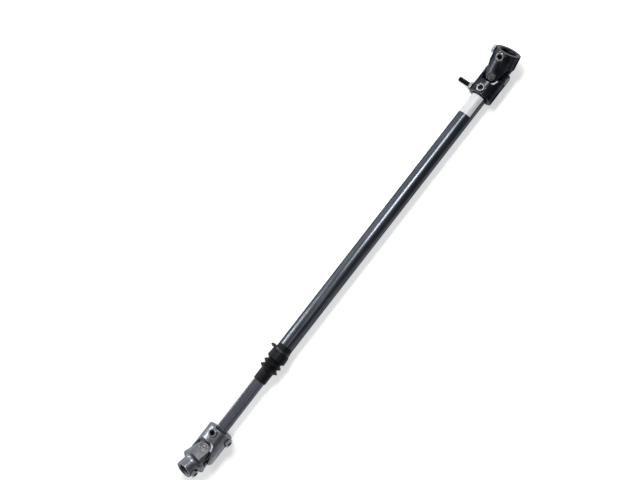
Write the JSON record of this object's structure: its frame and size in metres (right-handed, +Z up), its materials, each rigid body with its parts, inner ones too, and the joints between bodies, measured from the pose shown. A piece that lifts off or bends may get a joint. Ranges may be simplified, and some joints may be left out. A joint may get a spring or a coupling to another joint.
{
  "type": "intermediate steering shaft",
  "caption": "Telescoping steering shaft: a tube over a double-D bar with a bellows boot, and a universal joint with a clamping hub at each end.",
  "frame": {"origin": "middle of the underside of the whole part as it lies on a surface", "axes": "+X along the tube towards the upper joint, +Z up, +Y to the side that the hubs lean to"},
  "size_m": [0.8524, 0.071, 0.0635],
  "materials": {
    "tube_steel": "satin dark coating on drawn tube",
    "bar_steel": "drawn, dark oiled steel",
    "black_yoke": "satin black oxide",
    "grey_yoke": "raw forged and machined steel",
    "cap_steel": "pressed bearing cups, dull grey",
    "zinc_plate": "bright zinc plating",
    "black_screw": "black oxide on threads",
    "black_rubber": "matt moulded rubber",
    "black_nylon": "moulded nylon"
  },
  "bodies": {
    "tube_body": {"outer_tube": "tube_steel", "dust_boot": "black_rubber", "cable_tie": "black_nylon", "upper_shaft_yoke": "black_yoke", "upper_shaft_cap_a": "cap_steel", "upper_shaft_cap_b": "cap_steel", "upper_shaft_front_jam_nut": "zinc_plate", "upper_shaft_front_set_screw": "black_screw", "upper_shaft_side_jam_nut": "zinc_plate", "upper_shaft_side_set_screw": "black_screw"},
    "upper_cross_body": {"upper_cross": "cap_steel", "upper_shaft_needles_a": "cap_steel", "upper_shaft_needles_b": "cap_steel", "upper_shaft_seal_a": "black_rubber", "upper_shaft_seal_b": "black_rubber", "upper_hub_needles_a": "cap_steel", "upper_hub_needles_b": "cap_steel", "upper_hub_seal_a": "black_rubber", "upper_hub_seal_b": "black_rubber"},
    "upper_hub_body": {"upper_hub_yoke": "black_yoke", "upper_hub_cap_a": "cap_steel", "upper_hub_cap_b": "cap_steel", "upper_hub_front_jam_nut": "zinc_plate", "upper_hub_front_set_screw": "black_screw", "upper_hub_side_jam_nut": "zinc_plate", "upper_hub_side_set_screw": "black_screw"},
    "slider_body": {"inner_bar": "bar_steel", "lower_shaft_yoke": "grey_yoke", "lower_shaft_cap_a": "cap_steel", "lower_shaft_cap_b": "cap_steel", "lower_shaft_front_jam_nut": "zinc_plate", "lower_shaft_front_set_screw": "black_screw", "lower_shaft_side_jam_nut": "zinc_plate", "lower_shaft_side_set_screw": "black_screw"},
    "lower_cross_body": {"lower_cross": "cap_steel", "lower_shaft_needles_a": "cap_steel", "lower_shaft_needles_b": "cap_steel", "lower_shaft_seal_a": "black_rubber", "lower_shaft_seal_b": "black_rubber", "lower_hub_needles_a": "cap_steel", "lower_hub_needles_b": "cap_steel", "lower_hub_seal_a": "black_rubber", "lower_hub_seal_b": "black_rubber"},
    "lower_hub_body": {"lower_hub_yoke": "grey_yoke", "lower_hub_cap_a": "cap_steel", "lower_hub_cap_b": "cap_steel", "lower_hub_side_jam_nut": "zinc_plate", "lower_hub_side_set_screw": "black_screw"}
  },
  "joints": [
    {"name": "telescope", "type": "slide", "parent": "tube_body", "child": "slider_body", "axis": [-1, 0, 0], "range_m": [-0.085, 0.04]},
    {"name": "upper_bend", "type": "hinge", "parent": "tube_body", "child": "upper_cross_body", "pos_m": [0.37809, -0.0094, 0.02154], "axis": [0, 0.9272, -0.3746], "range_deg": [-3, 69]},
    {"name": "upper_swing", "type": "hinge", "parent": "upper_cross_body", "child": "upper_hub_body", "pos_m": [0.37809, -0.0094, 0.02154], "axis": [-0.5446, 0.3142, 0.7776], "range_deg": [-18, 18]},
    {"name": "lower_bend", "type": "hinge", "parent": "slider_body", "child": "lower_cross_body", "pos_m": [-0.38191, -0.0094, 0.02154], "axis": [0, -0.9272, 0.3746], "range_deg": [-3, 69]},
    {"name": "lower_swing", "type": "hinge", "parent": "lower_cross_body", "child": "lower_hub_body", "pos_m": [-0.38191, -0.0094, 0.02154], "axis": [0.5446, 0.3142, 0.7776], "range_deg": [-18, 18]}
  ]
}
